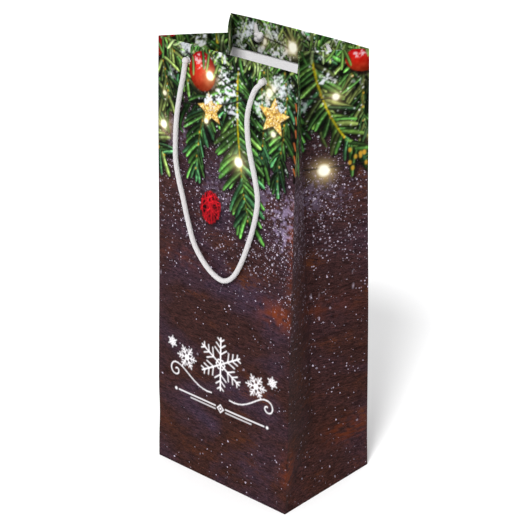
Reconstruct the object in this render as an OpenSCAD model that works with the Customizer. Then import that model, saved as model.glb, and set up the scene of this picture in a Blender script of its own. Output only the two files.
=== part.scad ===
// Tall paper gift bag for one wine bottle: folded printed sheet, pinched side
// gussets, turned-in top over stiffening cards, base board and two rope handles.
// The front faces -Y, the bag stands on Z = 0, and left is -X. Millimetres.

/* [Bag] */
// Width of the front and back panels
bag_w = 128; // [110:1:150]
// Depth of the bag at its base
bag_d = 95; // [85:1:110]
// Height of the standing bag
bag_h = 330; // [300:1:380]
// Depth of the open mouth, less than the base because the gussets pinch in
mouth_d = 74; // [66:1:80]
// Thickness of the printed paper
paper_t = 0.3; // [0.2:0.05:0.5]

/* [Gussets] */
// How far the gusset's centre crease stands in from the side at the mouth
mouth_pinch = 31; // [24:0.5:34]
// How far the same crease stands in where it ends above the base
foot_pinch = 15.5; // [10:0.5:20]
// Height at which the centre crease splits towards the two bottom corners
foot_h = 47; // [35:1:60]

/* [Turned-in top] */
// Depth of the paper turned in around the mouth
hem_h = 25; // [18:1:35]
// Thickness of the stiffening cards inside the hem
card_t = 0.7; // [0.4:0.1:1.2]
// Width of the side seam's glue tab
tab_w = 18; // [12:1:24]

/* [Base] */
// Thickness of the loose-cut base board
board_t = 1; // [0.6:0.1:2]
// Gap around the base board
board_gap = 0.5; // [0.3:0.1:1.5]
// How far the front and back flaps pass the middle of the base
flap_lap = 15; // [8:1:25]
// How far each side flap reaches in
side_flap = 40; // [25:1:50]

/* [Handles] */
// Diameter of the rope
cord_d = 3.5; // [3:0.1:3.8]
// Distance between a handle's two holes
hole_pitch = 70; // [60:1:80]
// Distance from the top edge down to the holes
hole_drop = 11.5; // [10:0.5:14]
// Diameter of the punched holes
hole_d = 4.6; // [4.4:0.1:5.5]
// Distance of the front rope's pivot from the flat front panel
front_pivot_out = 2.6; // [2.5:0.1:3.5]
// Distance of the back rope's pivot, which leaves room for the back panel's soft outward bow
back_pivot_out = 4.4; // [2.5:0.1:5]
// How much further the hanging rope stands off at its middle
hang_out = 0.8; // [0:0.1:2]
// Overall width of the knots
knot_d = 8.2; // [7:0.1:10]

/* [Hidden] */
$fn = 48;
half_w = bag_w / 2;
slope = (bag_d - mouth_d) / 2 / bag_h;
lean = atan(slope);
slant_t = paper_t / cos(lean);
top_wall = 2 * slant_t + card_t;
hem_z = bag_h - hem_h;
// the card and the front and back hems end clear of the gussets' hems
hem_half_w = half_w - 2;
hole_z = bag_h - hole_drop;
knuckle_r = 2.4;
gusset_rows = 10;
cord_sides = 8;
cord_rings = 40;
through = 20;

// heights of the base's layers, from the bottom up
front_flap_z = 0;
back_flap_z = paper_t;
side_flap_z = 2 * paper_t;
board_z = 3 * paper_t;
base_top = board_z + board_t;

// Routes of the hanging ropes, as [distance from the centre line, drop below the
// holes] on the panel, seen from outside, from the left hole to the right one.
front_route = [
    [-35.5, 3], [-37, 12], [-40, 25], [-43, 43], [-44, 65], [-43, 77], [-40, 89], [-36, 101],
    [-31, 117], [-25, 132], [-16, 143], [-6, 150], [4, 152], [13, 146], [21, 132], [29, 110],
    [33, 94], [34, 82], [31, 68], [27, 55], [24, 42], [23, 28], [25, 17], [29, 7], [33, 2.5],
];
back_route = [
    [-34, 3], [-31, 12], [-29, 25], [-30, 40], [-34, 58], [-38, 76], [-40, 92], [-39, 108],
    [-34, 125], [-26, 139], [-15, 148], [-3, 151], [9, 149], [20, 141], [29, 128], [35, 112],
    [38, 94], [38, 78], [36, 60], [33, 43], [32, 28], [33, 13], [34.5, 3],
];

// y of the front panel's outer and inner faces at height z
function face_y(z) = slope * z - bag_d / 2;
function inner_y(z) = face_y(z) + slant_t;

// x of the right gusset's centre crease, and of its foot triangle, at height z
function pinch(z) = foot_pinch + (mouth_pinch - foot_pinch) * (z - foot_h) / (bag_h - foot_h);
function foot_x(z) = half_w - foot_pinch * z / foot_h;

// thickness of the leaning gusset paper, measured along X
function gusset_t(z) = paper_t * sqrt(1 + pow(pinch(z) / inner_y(z), 2));

// one cross-section of the right gusset's front half, layer 0 being the paper
// itself and layer 1 the hem inside it
function gusset_row(z_edge, z_crease, z_thick, layer = 0) =
    let (
        edge = [half_w, inner_y(z_edge), z_edge],
        crease = [half_w - pinch(z_crease), 0, z_crease],
        outer = [layer * gusset_t(z_thick), 0, 0],
        inner = [(layer + 1) * gusset_t(z_thick), 0, 0]
    )
    [edge - outer, crease - outer, crease - inner, edge - inner];

// Closed skin over a list of matching cross-sections. Both faces of a thin
// sheet get the same diagonals, so that two layers lie flush on each other.
module skin(rows) {
    m = len(rows[0]);
    last = len(rows) - 1;
    function at(i, k) = i * m + k % m;
    sides = [
        for (i = [0:last - 1], k = [0:m - 1], upper = [false, true])
            k < m / 2
                ? upper
                    ? [at(i, k), at(i + 1, k), at(i + 1, k + 1)]
                    : [at(i, k), at(i + 1, k + 1), at(i, k + 1)]
                : upper
                    ? [at(i, k + 1), at(i + 1, k), at(i + 1, k + 1)]
                    : [at(i, k), at(i + 1, k), at(i, k + 1)]
    ];
    caps = [[for (k = [0:m - 1]) k], [for (k = [m - 1:-1:0]) at(last, k)]];
    polyhedron([for (row = rows) each row], concat(sides, caps));
}

// Piece lying along the front panel between two x, its outline given as
// [depth behind the panel's outer face, height].
module lying(x0, x1, outline) {
    translate([x0, 0, 0])
        rotate([90, 0, 90])
            linear_extrude(x1 - x0) polygon([for (p = outline) [face_y(p.y) + p.x, p.y]]);
}

module strip(x0, x1, z0, z1, near, far) {
    lying(x0, x1, [[near, z0], [far, z0], [far, z1], [near, z1]]);
}

// Places its children at a point of the front panel's outer face, +Y going in.
module on_front(x, z) {
    translate([x, face_y(z), z]) rotate([-lean, 0, 0]) children();
}

module hole_punch() {
    for (side = [-1, 1])
        on_front(side * hole_pitch / 2, hole_z)
            rotate([90, 0, 0]) cylinder(d = hole_d, h = through, center = true);
}

// Turns a front piece into the matching back piece.
module at_back() {
    rotate([0, 0, 180]) children();
}

// ---- the folded sheet ----

module wide_panel() {
    difference() {
        strip(-half_w, half_w, 0, bag_h, 0, slant_t);
        hole_punch();
    }
}

module gusset_half() {
    // the first row is the slanting crease from the bottom corner
    first_z = foot_h + (hem_z - foot_h) / gusset_rows;
    heights = concat([for (i = [0:gusset_rows - 1]) first_z + (hem_z - first_z) * i / (gusset_rows - 1)], bag_h);
    skin(concat(
        [gusset_row(0, foot_h, foot_h)],
        [for (z = heights) gusset_row(z, z, z)]
    ));
}

module gusset_foot() {
    corner = [half_w, inner_y(0), 0];
    apex = [half_w - foot_pinch, 0, foot_h];
    face = [corner, apex, [corner.x, -corner.y, 0]];
    step = [gusset_t(foot_h), 0, 0];
    skin([face, [for (p = face) p - step]]);
}

// The hem folds over the card's top edge and comes down behind it.
module wide_hem() {
    behind_card = slant_t + card_t;
    fold_z = bag_h - paper_t;
    difference() {
        lying(-hem_half_w, hem_half_w, [
            [slant_t, bag_h], [top_wall, bag_h], [top_wall, hem_z],
            [behind_card, hem_z], [behind_card, fold_z], [slant_t, fold_z],
        ]);
        hole_punch();
    }
}

module gusset_hem() {
    skin([for (z = [hem_z, bag_h]) gusset_row(z, z, z, 1)]);
}

module stiffening_card() {
    difference() {
        strip(-hem_half_w, hem_half_w, hem_z, bag_h - paper_t, slant_t, slant_t + card_t);
        hole_punch();
    }
}

module glue_tab() {
    strip(hem_half_w - tab_w, hem_half_w, base_top + board_gap, hem_z - 1, slant_t, slant_t + paper_t);
}

// ---- the base ----

module long_flap(z) {
    edge_x = foot_x(z + paper_t) - gusset_t(foot_h);
    edge_y = inner_y(z + paper_t);
    translate([-edge_x, edge_y, z]) cube([2 * edge_x, flap_lap - edge_y, paper_t]);
}

module short_flap() {
    edge_x = foot_x(base_top) - gusset_t(foot_h);
    wide = bag_d / 2 - 1.5;
    narrow = wide - side_flap * 0.8;
    translate([0, 0, side_flap_z])
        linear_extrude(paper_t)
            polygon([
                [edge_x, -wide], [edge_x, wide],
                [edge_x - side_flap, narrow], [edge_x - side_flap, -narrow],
            ]);
}

module board() {
    edge_x = foot_x(base_top) - gusset_t(foot_h) - board_gap;
    edge_y = -inner_y(base_top) - board_gap;
    translate([-edge_x, -edge_y, board_z]) cube([2 * edge_x, 2 * edge_y, board_t]);
}

// ---- the handles ----

// Knot behind the wall, its frayed tail, and the rope's short way out through
// the hole to the rounded bend where the free loop begins.
module knot(side, tail_tilt, pivot_out) {
    round_r = 2.9;
    knot_y = top_wall + round_r;
    tail_l = 10;
    on_front(side * hole_pitch / 2, hole_z) {
        translate([0, knot_y, 0]) rotate([90, 0, 0]) {
            rotate_extrude()
                intersection() {
                    translate([knot_d / 2 - round_r, 0]) circle(round_r);
                    translate([0, -round_r]) square([knot_d, 2 * round_r]);
                }
            cylinder(d = cord_d, h = knot_y + pivot_out);
        }
        translate([0, knot_y, 0]) rotate([0, tail_tilt, 0]) cylinder(r1 = 1.7, r2 = 0.8, h = tail_l);
        translate([0, -pivot_out, 0]) sphere(knuckle_r);
    }
}

// point of a smooth curve through the route, at t = 0 to 1 along it
function along(route, t) =
    let (
        last = len(route) - 1,
        i = min(floor(t * last), last - 1),
        u = t * last - i,
        a = route[max(i - 1, 0)],
        b = route[i],
        c = route[i + 1],
        d = route[min(i + 2, last)]
    )
    b + (c - a) * u / 2 + (2 * a - 5 * b + 4 * c - d) * u * u / 2 + (3 * b - a - 3 * c + d) * pow(u, 3) / 2;

// the same point in space, with the rope standing off the panel as it hangs
function hang(route, t, pivot_out) =
    let (p = along(route, t))
    [p.x, -pivot_out - hang_out * sin(180 * t), -p.y];

function unit(v) = v / norm(v);

function ring(route, t, pivot_out) =
    let (
        step = 0.002,
        centre = hang(route, t, pivot_out),
        ahead = unit(hang(route, min(t + step, 1), pivot_out) - hang(route, max(t - step, 0), pivot_out)),
        across = unit(cross(ahead, [0, 1, 0])),
        outward = cross(across, ahead)
    )
    [for (k = [0:cord_sides - 1])
        let (a = 360 * (k + 0.5) / cord_sides)
        centre + (across * cos(a) + outward * sin(a)) * cord_d / 2];

module rope_loop(route, pivot_out) {
    on_front(0, hole_z) skin([for (i = [0:cord_rings - 1]) ring(route, i / (cord_rings - 1), pivot_out)]);
}

// ---- one module per piece ----

print_colour = [0.26, 0.16, 0.16];
leaf_colour = [0.20, 0.36, 0.17];
paper_colour = [0.89, 0.88, 0.90];
card_colour = [0.72, 0.66, 0.58];
rope_colour = [0.93, 0.92, 0.93];

module front_panel() { color(print_colour) wide_panel(); }
module back_panel() { color(print_colour) at_back() wide_panel(); }
module right_gusset_front() { color(print_colour) gusset_half(); }
module right_gusset_rear() { color(print_colour) mirror([0, 1, 0]) gusset_half(); }
module right_gusset_foot() { color(print_colour) gusset_foot(); }
module left_gusset_front() { color(print_colour) mirror([1, 0, 0]) gusset_half(); }
module left_gusset_rear() { color(print_colour) at_back() gusset_half(); }
module left_gusset_foot() { color(print_colour) mirror([1, 0, 0]) gusset_foot(); }

module front_hem() { color(leaf_colour) wide_hem(); }
module back_hem() { color(leaf_colour) at_back() wide_hem(); }
module right_hem_front() { color(leaf_colour) gusset_hem(); }
module right_hem_rear() { color(leaf_colour) mirror([0, 1, 0]) gusset_hem(); }
module left_hem_front() { color(leaf_colour) mirror([1, 0, 0]) gusset_hem(); }
module left_hem_rear() { color(leaf_colour) at_back() gusset_hem(); }

module front_card() { color(card_colour) stiffening_card(); }
module back_card() { color(card_colour) at_back() stiffening_card(); }
module side_seam_tab() { color(paper_colour) at_back() glue_tab(); }

module front_flap() { color(print_colour) long_flap(front_flap_z); }
module back_flap() { color(print_colour) at_back() long_flap(back_flap_z); }
module right_flap() { color(paper_colour) short_flap(); }
module left_flap() { color(paper_colour) mirror([1, 0, 0]) short_flap(); }
module base_board() { color(card_colour) board(); }

module front_knot_left() { color(rope_colour) knot(-1, 12, front_pivot_out); }
module front_knot_right() { color(rope_colour) knot(1, -18, front_pivot_out); }
module back_knot_left() { color(rope_colour) at_back() knot(1, 14, back_pivot_out); }
module back_knot_right() { color(rope_colour) at_back() knot(-1, 40, back_pivot_out); }
module front_handle() { color(rope_colour) rope_loop(front_route, front_pivot_out); }
module back_handle() { color(rope_colour) at_back() rope_loop(back_route, back_pivot_out); }

front_panel();
back_panel();
left_gusset_front();
left_gusset_rear();
left_gusset_foot();
right_gusset_front();
right_gusset_rear();
right_gusset_foot();
front_hem();
back_hem();
left_hem_front();
left_hem_rear();
right_hem_front();
right_hem_rear();
front_card();
back_card();
side_seam_tab();
front_flap();
back_flap();
left_flap();
right_flap();
base_board();
front_knot_left();
front_knot_right();
back_knot_left();
back_knot_right();
front_handle();
back_handle();
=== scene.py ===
import math
import time

import bmesh
import bpy
import numpy as np
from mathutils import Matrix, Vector


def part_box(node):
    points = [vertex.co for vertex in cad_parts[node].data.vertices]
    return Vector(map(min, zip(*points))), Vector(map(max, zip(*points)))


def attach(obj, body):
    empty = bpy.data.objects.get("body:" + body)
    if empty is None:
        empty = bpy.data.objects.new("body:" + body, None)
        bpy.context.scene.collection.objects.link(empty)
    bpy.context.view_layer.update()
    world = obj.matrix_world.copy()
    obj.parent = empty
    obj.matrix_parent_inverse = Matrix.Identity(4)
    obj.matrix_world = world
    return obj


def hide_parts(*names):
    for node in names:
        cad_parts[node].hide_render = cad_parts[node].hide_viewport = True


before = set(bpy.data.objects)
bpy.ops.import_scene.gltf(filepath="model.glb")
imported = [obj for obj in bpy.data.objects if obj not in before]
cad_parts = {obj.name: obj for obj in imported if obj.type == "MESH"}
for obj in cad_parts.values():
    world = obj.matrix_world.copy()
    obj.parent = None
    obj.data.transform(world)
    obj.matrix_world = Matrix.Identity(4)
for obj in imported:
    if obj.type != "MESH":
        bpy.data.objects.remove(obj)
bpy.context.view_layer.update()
startTime = time.time()


def say(stage):
    print(f"gift bag: {stage} ({time.time() - startTime:.1f} s)")


cameraSet = {
    "lens": 120.7,
    "sensor": 36.0,
    "place": (0.781, -0.871, 0.693),
    "tilt": 65.6,
    "turn": 41.8,
}
cameraData = bpy.data.cameras.new("bagCamera")
cameraData.lens = cameraSet["lens"]
cameraData.sensor_width = cameraSet["sensor"]
bagCamera = bpy.data.objects.new("bagCamera", cameraData)
bagCamera.location = cameraSet["place"]
bagCamera.rotation_euler = (math.radians(cameraSet["tilt"]), 0, math.radians(cameraSet["turn"]))
bpy.context.scene.collection.objects.link(bagCamera)
bpy.context.scene.camera = bagCamera


def materialWith(name, roughness, specular=0.5):
    mat = bpy.data.materials.new(name)
    mat.use_nodes = True
    shader = mat.node_tree.nodes["Principled BSDF"]
    shader.inputs["Roughness"].default_value = roughness
    shader.inputs["Specular IOR Level"].default_value = specular
    return mat, mat.node_tree, shader


def objectPlace(tree):
    return tree.nodes.new("ShaderNodeTexCoord").outputs["Object"]


def addRamp(tree, source, stops):
    ramp = tree.nodes.new("ShaderNodeValToRGB")
    ramp.color_ramp.elements[0].position = stops[0][0]
    ramp.color_ramp.elements[0].color = (*stops[0][1], 1)
    ramp.color_ramp.elements[1].position = stops[-1][0]
    ramp.color_ramp.elements[1].color = (*stops[-1][1], 1)
    for place, colour in stops[1:-1]:
        ramp.color_ramp.elements.new(place).color = (*colour, 1)
    tree.links.new(source, ramp.inputs[0])
    return ramp.outputs[0]


def addMix(tree, factor, first, second, blend="MIX"):
    mix = tree.nodes.new("ShaderNodeMix")
    mix.data_type = "RGBA"
    mix.blend_type = blend
    for socket, value in ((mix.inputs[0], factor), (mix.inputs[6], first), (mix.inputs[7], second)):
        if isinstance(value, bpy.types.NodeSocket):
            tree.links.new(value, socket)
        elif isinstance(value, (int, float)):
            socket.default_value = value
        else:
            socket.default_value = (*value, 1)
    return mix.outputs[2]


def addMath(tree, operation, first, second):
    node = tree.nodes.new("ShaderNodeMath")
    node.operation = operation
    for socket, value in ((node.inputs[0], first), (node.inputs[1], second)):
        if isinstance(value, bpy.types.NodeSocket):
            tree.links.new(value, socket)
        else:
            socket.default_value = value
    return node.outputs[0]


def addNoise(tree, vector, stretch, scale, detail, distortion=0.0, shift=(0, 0, 0)):
    mapping = tree.nodes.new("ShaderNodeMapping")
    mapping.inputs["Scale"].default_value = stretch
    mapping.inputs["Location"].default_value = shift
    tree.links.new(vector, mapping.inputs["Vector"])
    noise = tree.nodes.new("ShaderNodeTexNoise")
    noise.inputs["Scale"].default_value = scale
    noise.inputs["Detail"].default_value = detail
    noise.inputs["Distortion"].default_value = distortion
    tree.links.new(mapping.outputs[0], noise.inputs["Vector"])
    return noise.outputs[0]


def finishWith(tree, shader, tone, height, distance, strength):
    tree.links.new(tone, shader.inputs["Base Color"])
    bump = tree.nodes.new("ShaderNodeBump")
    bump.inputs["Distance"].default_value = distance
    bump.inputs["Strength"].default_value = strength
    tree.links.new(height, bump.inputs["Height"])
    tree.links.new(bump.outputs[0], shader.inputs["Normal"])


def asLinear(colour):
    colour = np.asarray(colour, float)
    return np.where(colour <= 0.04045, colour / 12.92, ((colour + 0.055) / 1.055) ** 2.4)


def paint(red, green, blue):
    return tuple(asLinear((red, green, blue)))


def meshObject(name, points, faces, mats, smooth=True, sharp=None, matIndex=None):
    mesh = bpy.data.meshes.new(name)
    mesh.from_pydata([tuple(p) for p in points], [], faces)
    for mat in mats:
        mesh.materials.append(mat)
    if matIndex is not None:
        mesh.polygons.foreach_set("material_index", np.asarray(matIndex, np.int32))
    mesh.update()
    if smooth:
        mesh.shade_smooth()
        if sharp is not None:
            mesh.set_sharp_from_angle(angle=math.radians(sharp))
    made = bpy.data.objects.new(name, mesh)
    bpy.context.scene.collection.objects.link(made)
    return made


# the wide panels lean in from the base to the mouth
panelSet = {"baseDeep": 0.095, "mouthDeep": 0.074, "high": 0.330, "holeHigh": 0.3185}
panelSlope = (panelSet["baseDeep"] - panelSet["mouthDeep"]) / 2 / panelSet["high"]
panelLean = math.atan(panelSlope)

ropeSet = {
    "thick": 0.0035,
    "colour": (0.757, 0.745, 0.75),
    "shade": (0.70, 0.688, 0.694),
    "worn": (0.80, 0.785, 0.765),
    "sides": 40,
    "ringStep": 0.0004,
    "strands": 10,
    "braidPitch": 0.0052,
    "relief": 0.00011,
    "holePitch": 0.070,
    "standOff": 0.0008,
    "declared": 0.35,
    "frontOut": 0.0026,
    "backOut": 0.0044,
}
# hanging loops, millimetres across and below the holes, seen from outside
frontRoute = [
    (-35, 0), (-35.5, 3), (-37, 12), (-40, 25), (-43, 43), (-44, 65), (-43, 77), (-40, 89),
    (-36, 101), (-31, 117), (-25, 132), (-16, 143), (-6, 150), (4, 152), (13, 146), (21, 132),
    (29, 110), (33, 94), (34, 82), (31, 68), (27, 55), (24, 42), (23, 28), (25, 17), (29, 7),
    (33, 2.5), (35, 0),
]
backRoute = [
    (-35, 0), (-34, 3), (-31, 12), (-29, 25), (-30, 40), (-34, 58), (-38, 76), (-40, 92), (-39, 108),
    (-34, 125), (-26, 139), (-15, 148), (-3, 151), (9, 149), (20, 141), (29, 128), (35, 112),
    (38, 94), (38, 78), (36, 60), (33, 43), (32, 28), (33, 13), (34.5, 3), (35, 0),
]


def smoothCurve(points, spacing):
    points = np.asarray(points, float)
    dense = []
    last = len(points) - 1
    for i in range(last):
        a = points[max(i - 1, 0)]
        b = points[i]
        c = points[i + 1]
        d = points[min(i + 2, last)]
        u = np.linspace(0, 1, 40, endpoint=False)[:, None]
        second = (2 * a - 5 * b + 4 * c - d) * u ** 2 / 2
        third = (3 * b - a - 3 * c + d) * u ** 3 / 2
        dense.append(b + (c - a) * u / 2 + second + third)
    dense = np.vstack(dense + [points[-1:]])
    run = np.concatenate([[0], np.cumsum(np.linalg.norm(np.diff(dense, axis=0), axis=1))])
    count = max(2, int(round(run[-1] / spacing)) + 1)
    even = np.linspace(0, run[-1], count)
    return np.stack([np.interp(even, run, dense[:, k]) for k in range(dense.shape[1])], 1)


def tubeAlong(line, radius, sides, bulge=None):
    # points and faces of a closed tube; bulge(run, angle) adds relief
    line = np.asarray(line, float)
    ahead = np.gradient(line, axis=0)
    ahead /= np.linalg.norm(ahead, axis=1)[:, None]
    across = np.zeros_like(line)
    first = np.cross(ahead[0], (0.3, 1.0, 0.2))
    across[0] = first / np.linalg.norm(first)
    for i in range(1, len(line)):
        turned = across[i - 1] - ahead[i] * (across[i - 1] @ ahead[i])
        across[i] = turned / np.linalg.norm(turned)
    up = np.cross(ahead, across)
    run = np.concatenate([[0], np.cumsum(np.linalg.norm(np.diff(line, axis=0), axis=1))])
    angle = np.arange(sides) * 2 * math.pi / sides
    radius = np.broadcast_to(np.asarray(radius, float), (len(line),))[:, None] * np.ones((1, sides))
    if bulge is not None:
        radius = radius + bulge(run[:, None], angle[None, :])
    ring = across[:, None] * np.cos(angle)[None, :, None] + up[:, None] * np.sin(angle)[None, :, None]
    points = (line[:, None] + ring * radius[..., None]).reshape(-1, 3)
    faces = []
    for i in range(len(line) - 1):
        for k in range(sides):
            n = (k + 1) % sides
            faces.append((i * sides + k, i * sides + n, (i + 1) * sides + n, (i + 1) * sides + k))
    faces.append(tuple(range(sides - 1, -1, -1)))
    faces.append(tuple((len(line) - 1) * sides + k for k in range(sides)))
    return points, faces


def braid(run, angle):
    # strands wound both ways, the upper one showing
    turn = 2 * math.pi * run / ropeSet["braidPitch"]
    half = ropeSet["strands"] / 2
    wave = np.maximum(np.cos(half * angle + turn), np.cos(half * angle - turn))
    return ropeSet["relief"] * (wave - 0.35)


def makeCordMaterial():
    mat, tree, shader = materialWith("softCord", 0.82, 0.25)
    shader.inputs["Sheen Weight"].default_value = 0.25
    shader.inputs["Sheen Roughness"].default_value = 0.6
    shader.inputs["Subsurface Weight"].default_value = 0.12
    shader.inputs["Subsurface Radius"].default_value = (0.001, 0.0009, 0.0009)
    where = objectPlace(tree)
    fibre = addNoise(tree, where, (1, 1, 1), 2600, 3)
    patch = addNoise(tree, where, (1, 1, 1), 90, 2)
    tone = addRamp(tree, fibre, [(0.32, paint(*ropeSet["shade"])), (0.55, paint(*ropeSet["colour"]))])
    tone = addMix(tree, addMath(tree, "MULTIPLY", patch, 0.18), tone, paint(*ropeSet["worn"]))
    finishWith(tree, shader, tone, fibre, 0.00008, 0.4)
    return mat


cordMaterial = makeCordMaterial()


def onFront(points, z):
    # from a point of the panel's outer face, with y going in, to the bag's own frame
    faceY = panelSlope * z - panelSet["baseDeep"] / 2
    x, y, up = np.asarray(points, float).T
    along = faceY + y * math.cos(panelLean) + up * math.sin(panelLean)
    height = z - y * math.sin(panelLean) + up * math.cos(panelLean)
    return np.stack([x, along, height], 1)


def halfTurn(points):
    return np.asarray(points) * (-1, -1, 1)


def makeRope(name, route, pivotOut, behind):
    flat = smoothCurve(np.array(route) / 1000, ropeSet["ringStep"])
    share = np.linspace(0, 1, len(flat))
    deep = -pivotOut - ropeSet["standOff"] * np.sin(math.pi * share)
    local = np.stack([flat[:, 0], deep, -flat[:, 1]], 1)
    line = onFront(local, panelSet["holeHigh"])
    if behind:
        line = halfTurn(line)
    points, faces = tubeAlong(line, ropeSet["thick"] / 2, ropeSet["sides"], braid)
    rope = meshObject(name, points, faces, [cordMaterial])
    length = float(np.linalg.norm(np.diff(line, axis=0), axis=1).sum())
    body = "back_handle" if behind else "front_handle"
    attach(rope, body)
    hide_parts(body)
    print(f"{name}: {length:.4f} m")


makeRope("frontRope", frontRoute, ropeSet["frontOut"], False)
makeRope("backRope", backRoute, ropeSet["backOut"], True)
say("ropes hung")


# the printed picture, painted on the flat sheet in millimetres
press = {"cell": 0.5, "wide": 446.0, "high": 358.0, "starts": (-128, 95, 318), "repeat": 223, "seed": 41}
cell = press["cell"]
repeat = press["repeat"]  # how far round the bag the picture repeats
sheetRows = int(press["high"] / cell)
sheetCols = int(press["wide"] / cell)
inkLayer = np.zeros((sheetRows, sheetCols, 3), np.float32)
coverLayer = np.zeros((sheetRows, sheetCols), np.float32)
rng = np.random.default_rng(press["seed"])


def patchOf(x0, x1, z0, z1):
    # the cells of a box, and where their middles are; empty when the box is off the sheet
    c0 = max(0, int(x0 / cell))
    c1 = max(c0, min(sheetCols, int(x1 / cell) + 2))
    r0 = max(0, int(z0 / cell))
    r1 = max(r0, min(sheetRows, int(z1 / cell) + 2))
    if c0 == c1 or r0 == r1:
        c0, c1, r0, r1 = 0, 0, 0, 0
    x = ((np.arange(c0, c1) + 0.5) * cell)[None, :].astype(np.float32)
    z = ((np.arange(r0, r1) + 0.5) * cell)[:, None].astype(np.float32)
    return (slice(r0, r1), slice(c0, c1)), x, z


def cloud(rows, cols, spacing, octaves=3):
    # soft random field between 0 and 1, the coarsest lumps spacing cells apart
    if rows * cols == 0:
        return np.zeros((rows, cols), np.float32)
    total = np.zeros((rows, cols), np.float32)
    weight = 1.0
    for octave in range(octaves):
        step = max(1.5, spacing / 2 ** octave)
        knots = rng.random((int(rows / step) + 3, int(cols / step) + 3)).astype(np.float32)
        y = np.arange(rows) / step
        x = np.arange(cols) / step
        yi = y.astype(int)
        xi = x.astype(int)
        fy = (y - yi)[:, None]
        fx = (x - xi)[None, :]
        fy = fy * fy * (3 - 2 * fy)
        fx = fx * fx * (3 - 2 * fx)
        low = knots[yi][:, xi] * (1 - fx) + knots[yi][:, xi + 1] * fx
        high = knots[yi + 1][:, xi] * (1 - fx) + knots[yi + 1][:, xi + 1] * fx
        total += weight * (low * (1 - fy) + high * fy)
        weight *= 0.55
    total -= total.min()
    return total / total.max()


def lay(where, colour, cover):
    cover = np.clip(cover, 0, 1)
    added = np.asarray(colour, np.float32) * cover[..., None]
    inkLayer[where] = inkLayer[where] * (1 - cover[..., None]) + added
    coverLayer[where] = coverLayer[where] * (1 - cover) + cover


def needle(base, tip, width, colour, bend, gloss, cover=1.0):
    dx, dz = tip[0] - base[0], tip[1] - base[1]
    long = math.hypot(dx, dz)
    reach = width + abs(bend) * long
    where, x, z = patchOf(min(base[0], tip[0]) - reach, max(base[0], tip[0]) + reach,
                          min(base[1], tip[1]) - reach, max(base[1], tip[1]) + reach)
    along = ((x - base[0]) * dx + (z - base[1]) * dz) / long ** 2
    side = ((x - base[0]) * -dz + (z - base[1]) * dx) / long - bend * long * 4 * along * (1 - along)
    inside = np.clip(along, 0, 1)
    half = width / 2 * np.sqrt(np.clip(np.minimum(inside / 0.18, (1 - inside) / 0.3), 0, 1))
    beyond = np.maximum(-along, along - 1).clip(0) * long
    edge = np.abs(side) - half + beyond
    solid = np.clip(0.5 - edge / cell, 0, 1) * cover
    across = np.clip(side / (width / 2), -1, 1)
    shade = 0.26 + 0.8 * (1 - np.abs(across) ** 1.6)
    shade = shade * (0.72 + 0.38 * inside)
    shine = np.exp(-((across - 0.25) / 0.22) ** 2) * 0.26 * gloss
    tone = np.asarray(colour, np.float32)[None, None] * shade[..., None]
    tone = tone + shine[..., None] * np.array([0.62, 0.82, 0.55], np.float32)
    lay(where, tone, solid)


def dab(x0, z0, rx, rz, colour, cover=1.0, soft=0.3):
    grow = 1 + soft
    where, x, z = patchOf(x0 - rx * grow, x0 + rx * grow, z0 - rz * grow, z0 + rz * grow)
    d = np.sqrt(((x - x0) / rx) ** 2 + ((z - z0) / rz) ** 2)
    lay(where, colour, cover * np.clip((1 + soft - d) / (2 * soft), 0, 1))


def stroke(points, width, colour, cover=1.0):
    for (ax, az), (bx, bz) in zip(points[:-1], points[1:]):
        where, x, z = patchOf(min(ax, bx) - width - 1, max(ax, bx) + width + 1,
                              min(az, bz) - width - 1, max(az, bz) + width + 1)
        dx, dz = bx - ax, bz - az
        t = np.clip(((x - ax) * dx + (z - az) * dz) / max(dx * dx + dz * dz, 1e-6), 0, 1)
        d = np.hypot(x - ax - t * dx, z - az - t * dz)
        lay(where, colour, cover * np.clip((width / 2 - d) / cell + 0.5, 0, 1))


def glow(x0, z0, core, halo, strength=1.0):
    where, x, z = patchOf(x0 - halo * 3, x0 + halo * 3, z0 - halo * 3, z0 + halo * 3)
    d = np.hypot(x - x0, z - z0)
    lay(where, inks["lightHalo"], strength * 0.75 * np.exp(-(d / halo) ** 1.5))
    lay(where, inks["lightCore"], strength * np.clip((core - d) / (core * 0.55) + 0.5, 0, 1))


def frost(x0, z0, rx, rz, amount=1.0, grain=5, colour=(0.86, 0.87, 0.9)):
    where, x, z = patchOf(x0 - rx, x0 + rx, z0 - rz, z0 + rz)
    lumps = cloud(z.shape[0], x.shape[1], grain, 3)
    d = ((x - x0) / rx) ** 2 + ((z - z0) / rz) ** 2
    lay(where, colour, amount * np.clip((lumps - 0.36 - 0.5 * d) * 5, 0, 1))


def specks(x0, x1, z0, z1, count, size, colour=(0.86, 0.84, 0.9), cover=0.9):
    uniform = rng.uniform
    for k in range(count):
        x, z = uniform(x0, x1), uniform(z0, z1)
        rx = size * uniform(0.45, 1.0) ** 1.5
        rz = rx * uniform(0.6, 1.2)
        dab(x, z, rx, rz, colour, cover * uniform(0.35, 1), 0.5)


def bezier(points, t):
    points = [np.asarray(p, float) for p in points]
    while len(points) > 1:
        points = [a * (1 - t) + b * t for a, b in zip(points[:-1], points[1:])]
    return points[0]


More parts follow.
